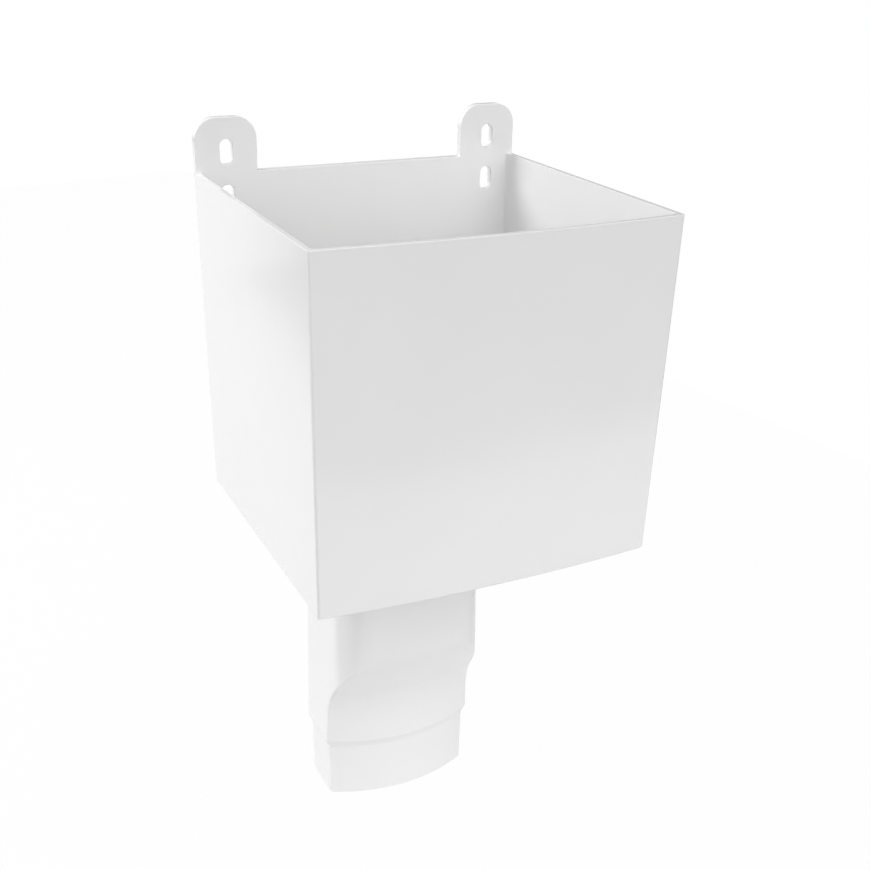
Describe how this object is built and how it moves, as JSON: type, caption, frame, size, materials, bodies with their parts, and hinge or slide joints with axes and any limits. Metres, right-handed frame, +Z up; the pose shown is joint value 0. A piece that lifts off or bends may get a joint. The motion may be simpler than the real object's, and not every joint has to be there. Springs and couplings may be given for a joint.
{
  "type": "downpipe hopper head",
  "caption": "Moulded hopper head for a rainwater downpipe: an open tapered box with slotted wall ears and a scooped outlet that ends in an ovoid spigot.",
  "frame": {"origin": "on the wall face, midway across the box and level with its rim", "axes": "+Z up, +Y into the wall, +X to the right when facing the wall"},
  "size_m": [0.1808, 0.17, 0.3869],
  "materials": {
    "white_plastic": "smooth moulded white plastic with a soft gloss"
  },
  "bodies": {
    "root": {"hopper_head": "white_plastic"}
  },
  "joints": []
}
